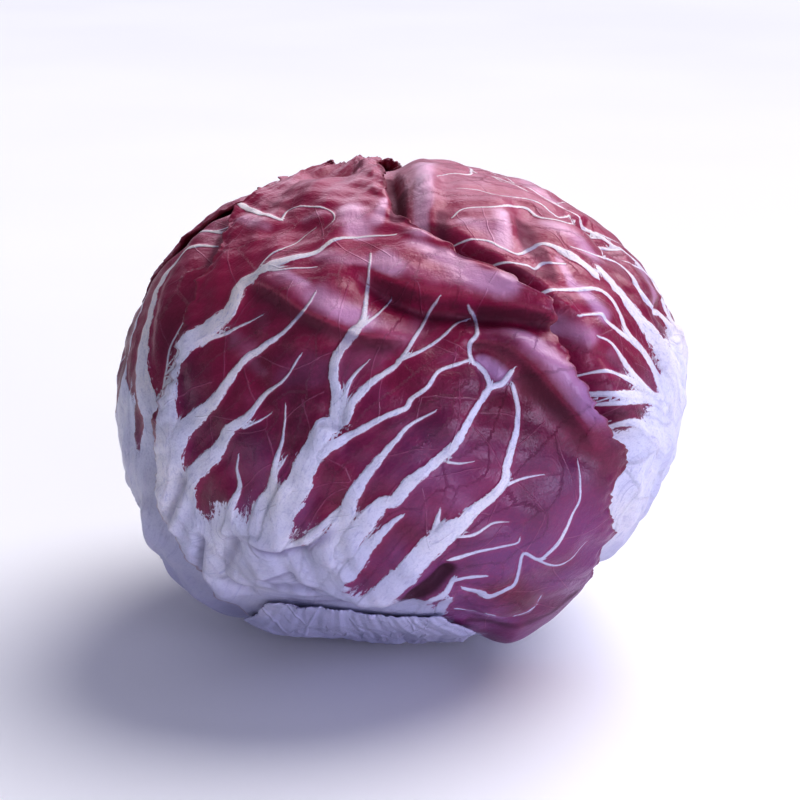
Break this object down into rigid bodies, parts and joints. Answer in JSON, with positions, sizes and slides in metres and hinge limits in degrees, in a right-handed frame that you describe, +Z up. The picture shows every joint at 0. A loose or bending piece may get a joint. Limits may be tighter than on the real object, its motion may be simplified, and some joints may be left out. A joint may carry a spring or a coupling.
{
  "type": "radicchio head",
  "caption": "Round, tightly wrapped leafy head with broad overlapping blades on a short cut stem that it stands on.",
  "frame": {"origin": "centre of the stem's flat cut face, on the surface that the head stands on", "axes": "+Z up from the cut stem through the crown; -Y is the front that the picture shows; +X to the right of that view"},
  "size_m": [0.1337, 0.133, 0.1142],
  "materials": {
    "outer_leaf": "waxy wine-red blade with white ribs",
    "inner_leaf": "darker wine-red blade with white ribs",
    "base_leaf": "pale blade, mostly white rib",
    "stem": "matt cut plant flesh"
  },
  "bodies": {
    "root": {"stem": "stem", "heart": "inner_leaf", "inner_leaf_1": "inner_leaf", "inner_leaf_2": "inner_leaf", "inner_leaf_3": "inner_leaf", "inner_leaf_4": "inner_leaf", "back_leaf": "outer_leaf", "left_leaf": "outer_leaf", "back_right_leaf": "outer_leaf", "right_leaf": "outer_leaf", "back_left_leaf": "outer_leaf", "front_leaf": "outer_leaf", "base_leaf_back": "base_leaf", "base_leaf_front": "base_leaf"}
  },
  "joints": []
}
